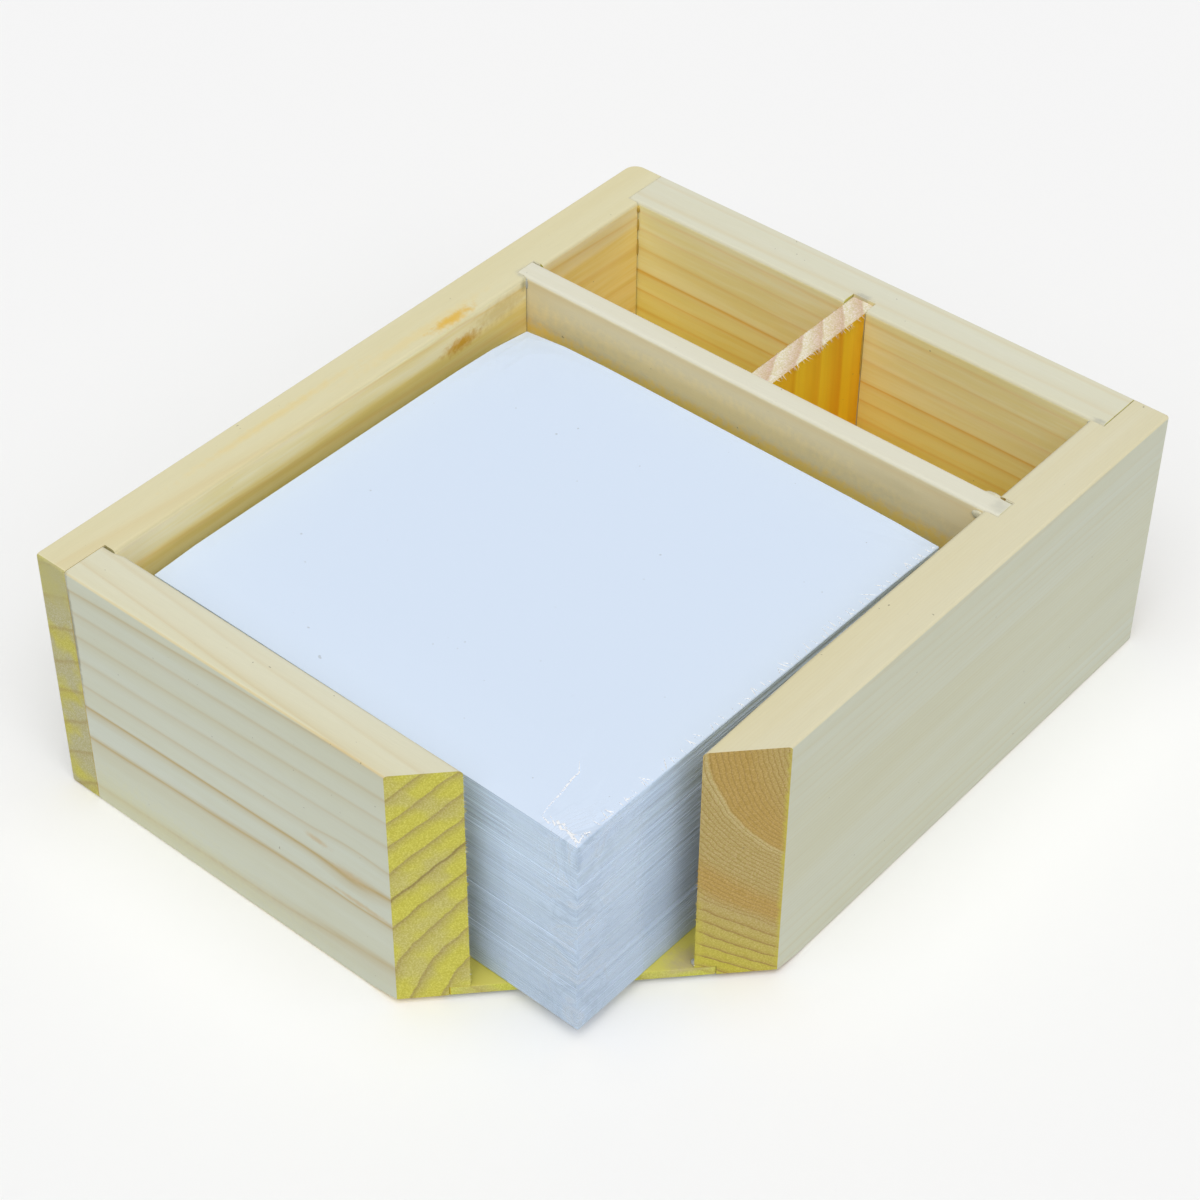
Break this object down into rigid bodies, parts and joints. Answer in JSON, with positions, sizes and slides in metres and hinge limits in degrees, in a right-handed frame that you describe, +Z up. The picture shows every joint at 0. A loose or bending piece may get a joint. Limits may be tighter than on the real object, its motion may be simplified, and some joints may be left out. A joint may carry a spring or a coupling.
{
  "type": "memo holder",
  "caption": "Open pine desk holder: a bay for a wrapped block of memo slips, a sawn-off corner to grip them by, and pen bays behind a divider.",
  "frame": {"origin": "under the middle of the holder's rectangular outline, on the table", "axes": "+X along the front wall from the left side to the right side, +Y from the front wall to the back wall, +Z up; the sawn-off corner is at +X, -Y"},
  "size_m": [0.1188, 0.1496, 0.0515],
  "materials": {
    "pine": "matte",
    "paper": "matte",
    "film": "gloss",
    "glue": "satin"
  },
  "bodies": {
    "holder": {"left_side": "pine", "right_side": "pine", "front_wall": "pine", "back_wall": "pine", "divider": "pine", "pen_partition": "pine", "base_panel": "pine"},
    "memo_block": {"memo_sheets": "paper", "shrink_film": "film"}
  },
  "joints": [
    {"name": "block_lift", "type": "slide", "parent": "holder", "child": "memo_block", "axis": [0, 0, 1], "range_m": [0, 0.055]}
  ]
}
